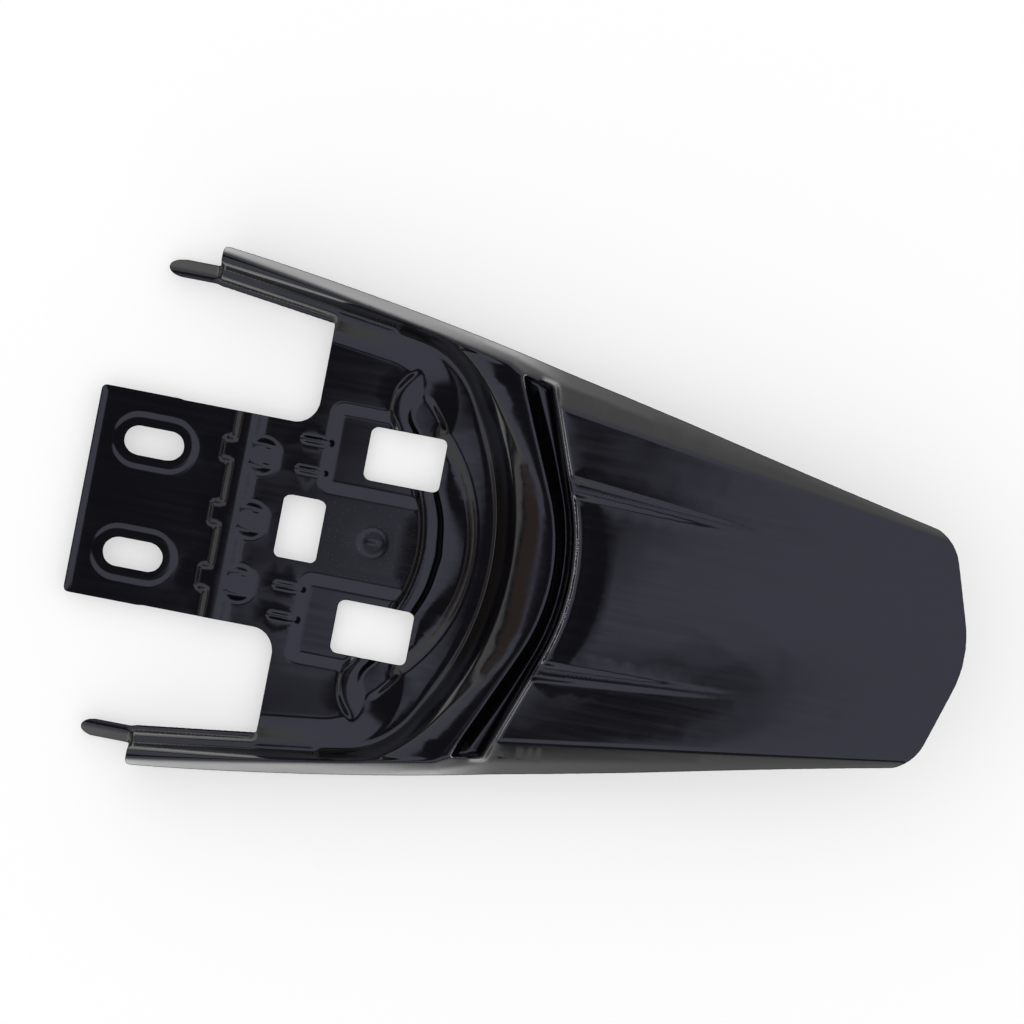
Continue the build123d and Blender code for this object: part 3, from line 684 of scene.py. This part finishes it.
def glowing_paper():
    """White paper with a glow that only the camera and reflections see."""
    material = bpy.data.materials.new("white_paper")
    material.use_nodes = True
    tree = material.node_tree
    tree.nodes.clear()
    ray = add_node(tree, "ShaderNodeLightPath").outputs
    seen = ray["Is Camera Ray"]
    for other in ("Is Glossy Ray", "Is Transmission Ray"):
        seen = add_node(tree, "ShaderNodeMath", {0: seen, 1: ray[other]}, operation="MAXIMUM").outputs[0]
    strength = add_node(tree, "ShaderNodeMath", {0: seen, 1: GLOW}, operation="MULTIPLY").outputs[0]
    share = 1 - GLOW
    paper = add_node(tree, "ShaderNodeBsdfDiffuse", {"Color": (share, share, share, 1.0)}).outputs[0]
    glow = add_node(tree, "ShaderNodeEmission", {"Strength": strength}).outputs[0]
    both = add_node(tree, "ShaderNodeAddShader", {0: paper, 1: glow}).outputs[0]
    add_node(tree, "ShaderNodeOutputMaterial", {"Surface": both})
    return material


FLOOR_REACH = 6.0  # metres to each side
SQUARE = ((-1, -1), (1, -1), (1, 1), (-1, 1))
floor_corners = [(x * FLOOR_REACH, y * FLOOR_REACH, LOWEST) for x, y in SQUARE]
flat_card("floor", floor_corners, glowing_paper())
print("floor at", round(LOWEST, 4), "m")

# %% [markdown]
# ### The camera
# The photograph looks straight down on the part, turned by eleven degrees. From four metres away a
# long lens shows hardly any perspective, as the photograph does.

# %% Camera straight above
LOOK_AT = Vector((0.183, 0.0286, 0.02))
ROLL = math.radians(10.95)
CAMERA_DISTANCE = 4.0
SENSOR_WIDTH = 36  # mm
FIELD_WIDTH = 0.512  # metres across the picture at the part
camera_data = bpy.data.cameras.new("camera")
camera = bpy.data.objects.new("camera", camera_data)
bpy.context.scene.collection.objects.link(camera)
camera.location = LOOK_AT + Vector((0, 0, CAMERA_DISTANCE))
camera.rotation_euler = (0, 0, ROLL)
camera_data.sensor_width = SENSOR_WIDTH
camera_data.lens = SENSOR_WIDTH * CAMERA_DISTANCE / FIELD_WIDTH
camera_data.dof.use_dof = False
bpy.context.scene.camera = camera
print("lens:", round(camera_data.lens), "mm")

# %% [markdown]
# ### Light for something that is all reflection
# White light from everywhere keeps the level plain. Gloss black then needs something to mirror. A
# studio hangs a cloth roof over such a part, bright on one side and open to the dark room on the
# other. The flat fields mirror the opening and go dark, and the tail mirrors the cloth and goes grey.
# On the right a flap is folded back, so that the opening reaches further and the tail's right field
# starts dark. The roof is a card that only reflections see, with a soft edge round its opening.

# %% Cloth roof
ROOF_HEIGHT = 0.9
ROOF_REACH = 3.0  # metres to each side
CLOTH = (0.95, 0.97, 1.28, 1.0)  # linear, a cool white
OPENING = (0.095, 0.087, 0.125, 1.0)  # the dark room behind the cloth
OPENING_X = (-1.2, 0.076)  # metres, from the front edge to the rear edge at y=0
OPENING_Y = (-0.28, 0.28)
REAR_EDGE_SLANT = 0.6  # how fast the rear edge moves back towards +Y
FLAP_Y, FLAP_X = -0.1, 0.26  # beyond this the opening reaches further back
SOFT_EDGE = 0.04


def soft_step(tree, value, edge, rising):
    """0 to 1 over the soft width at an edge, or 1 to 0."""
    low, high = (0.0, 1.0) if rising else (1.0, 0.0)
    return add_node(
        tree,
        "ShaderNodeMapRange",
        {"Value": value, 1: edge - SOFT_EDGE, 2: edge + SOFT_EDGE, 3: low, 4: high},
        interpolation_type="SMOOTHSTEP",
    ).outputs[0]


def roof_cloth():
    """Glow of the cloth roof, with the dark opening in it."""
    material = bpy.data.materials.new("roof_cloth")
    material.use_nodes = True
    tree = material.node_tree
    tree.nodes.clear()
    where = add_node(tree, "ShaderNodeTexCoord").outputs["Object"]
    x, y, _ = add_node(tree, "ShaderNodeSeparateXYZ", {"Vector": where}).outputs
    slanted = add_node(
        tree, "ShaderNodeMath", {0: y, 1: -REAR_EDGE_SLANT, 2: x}, operation="MULTIPLY_ADD"
    )
    rear = soft_step(tree, slanted.outputs[0], OPENING_X[1], False)
    flap_x, flap_y = soft_step(tree, x, FLAP_X, False), soft_step(tree, y, FLAP_Y, False)
    flap = add_node(tree, "ShaderNodeMath", {0: flap_x, 1: flap_y}, operation="MULTIPLY").outputs[0]
    dark = add_node(tree, "ShaderNodeMath", {0: rear, 1: flap}, operation="MAXIMUM").outputs[0]
    outer = [(x, OPENING_X[0], True), (y, OPENING_Y[0], True), (y, OPENING_Y[1], False)]
    for value, limit, rising in outer:
        step = soft_step(tree, value, limit, rising)
        dark = add_node(tree, "ShaderNodeMath", {0: dark, 1: step}, operation="MULTIPLY").outputs[0]
    colour = add_node(tree, "ShaderNodeMix", {"Factor": dark}, data_type="RGBA")
    colour.inputs[6].default_value = CLOTH
    colour.inputs[7].default_value = OPENING
    glow = add_node(tree, "ShaderNodeEmission", {"Color": colour.outputs[2]}).outputs[0]
    add_node(tree, "ShaderNodeOutputMaterial", {"Surface": glow})
    return material


def plain_card_cloth(name, colour):
    """Glow of one colour, for a card that reflections show as a dark or a tinted patch."""
    material = bpy.data.materials.new(name)
    material.use_nodes = True
    tree = material.node_tree
    tree.nodes.clear()
    glow = add_node(tree, "ShaderNodeEmission", {"Color": colour}).outputs[0]
    add_node(tree, "ShaderNodeOutputMaterial", {"Surface": glow})
    return material


def only_in_reflections(card):
    card.visible_camera = False
    card.visible_diffuse = False
    card.visible_shadow = False


roof_corners = [(x * ROOF_REACH, y * ROOF_REACH, ROOF_HEIGHT) for x, y in SQUARE]
roof = flat_card("cloth_roof", roof_corners, roof_cloth())
only_in_reflections(roof)
print("roof at", ROOF_HEIGHT, "m, opening from", OPENING_X[0], "to", OPENING_X[1], "m")

# %% [markdown]
# ### Walls and a lamp
# The faces that stand steeply mirror the room's walls. A brown one in front of the part colours the
# slope that leads from the seat pocket up to the crest, and a dark skirting below it draws that
# slope's dark foot. A dark wall on the right keeps the tail's right side quiet. A long low lamp behind
# the tail draws the thin bright line on the lip and on the crest.

# %% Walls and a lamp
walls = {
    "front_wall": ((-1.2, 0.5, 0.32), (-1.2, -0.5, 0.32), (-1.2, -0.5, 0.8), (-1.2, 0.5, 0.8)),
    "front_skirting": ((-1.2, 0.5, 0.2), (-1.2, -0.5, 0.2), (-1.2, -0.5, 0.32), (-1.2, 0.5, 0.32)),
    "right_wall": ((0.15, -1.0, 0.0), (1.2, -1.0, 0.0), (1.2, -1.0, 0.4), (0.15, -1.0, 0.4)),
    "rear_lamp": ((1.3, -0.7, 0.16), (1.3, 0.7, 0.16), (1.3, 0.7, 0.3), (1.3, -0.7, 0.3)),
}
wall_colours = {
    "front_wall": (0.42, 0.31, 0.26, 1.0),
    "front_skirting": (0.08, 0.08, 0.13, 1.0),
    "right_wall": (0.12, 0.12, 0.13, 1.0),
    "rear_lamp": (9.0, 9.0, 9.6, 1.0),
}
for name, corners in walls.items():
    only_in_reflections(flat_card(name, corners, plain_card_cloth(name, wall_colours[name])))
world = bpy.data.worlds.new("studio")
bpy.context.scene.world = world
world.use_nodes = True
world.node_tree.nodes["Background"].inputs["Color"].default_value = (1, 1, 1, 1)
world.node_tree.nodes["Background"].inputs["Strength"].default_value = 1.0
print("walls:", sorted(walls))

# %% [markdown]
# ## Colours as they are
# The colours are shown as they are, without a film look.

# %% Show the colours as they are
bpy.context.scene.view_settings.view_transform = "Standard"
